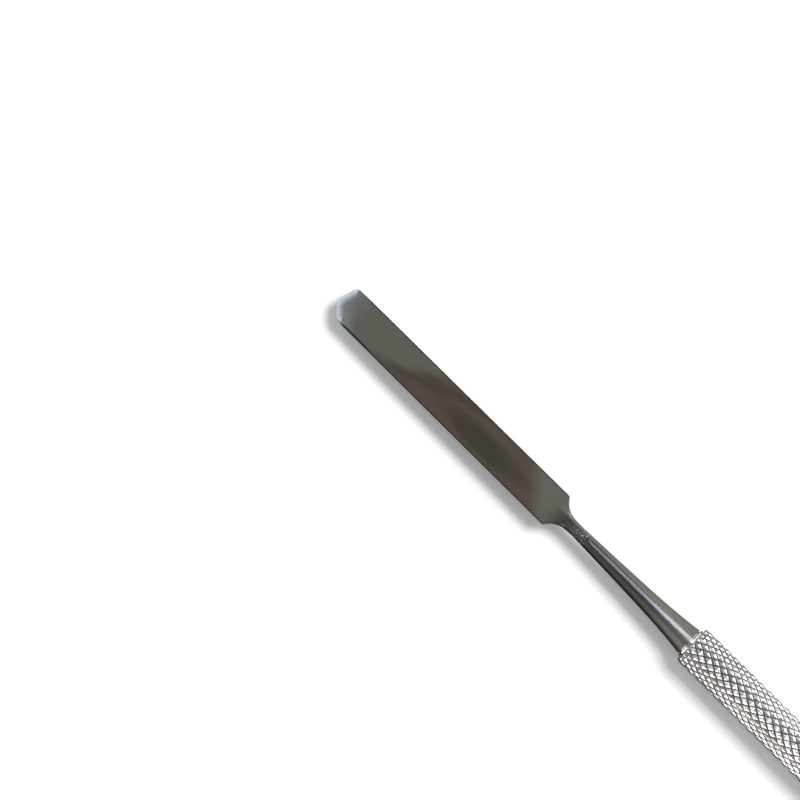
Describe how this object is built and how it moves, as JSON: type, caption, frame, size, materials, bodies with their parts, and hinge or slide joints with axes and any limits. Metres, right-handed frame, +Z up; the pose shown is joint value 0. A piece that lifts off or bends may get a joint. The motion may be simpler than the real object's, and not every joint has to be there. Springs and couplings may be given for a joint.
{
  "type": "cuticle pusher",
  "caption": "Flat-bladed cuticle pusher: forged blade on a flared round shank, bush-mounted in a hollow knurled handle with a domed end plug.",
  "frame": {"origin": "under the middle of the tool's length, on the surface that the handle lies on", "axes": "+X along the tool towards the blade's tip, +Z up and square to the blade's flat, +Y towards the tip's clipped corner"},
  "size_m": [0.15, 0.006, 0.006],
  "materials": {
    "polished_steel": "polished",
    "bright_steel": "bright turned",
    "knurled_steel": "knurled",
    "plug_steel": "satin turned"
  },
  "bodies": {
    "root": {"pusher_blade": "polished_steel", "mouth_bush": "bright_steel", "handle_tube": "knurled_steel", "end_plug": "plug_steel"}
  },
  "joints": []
}
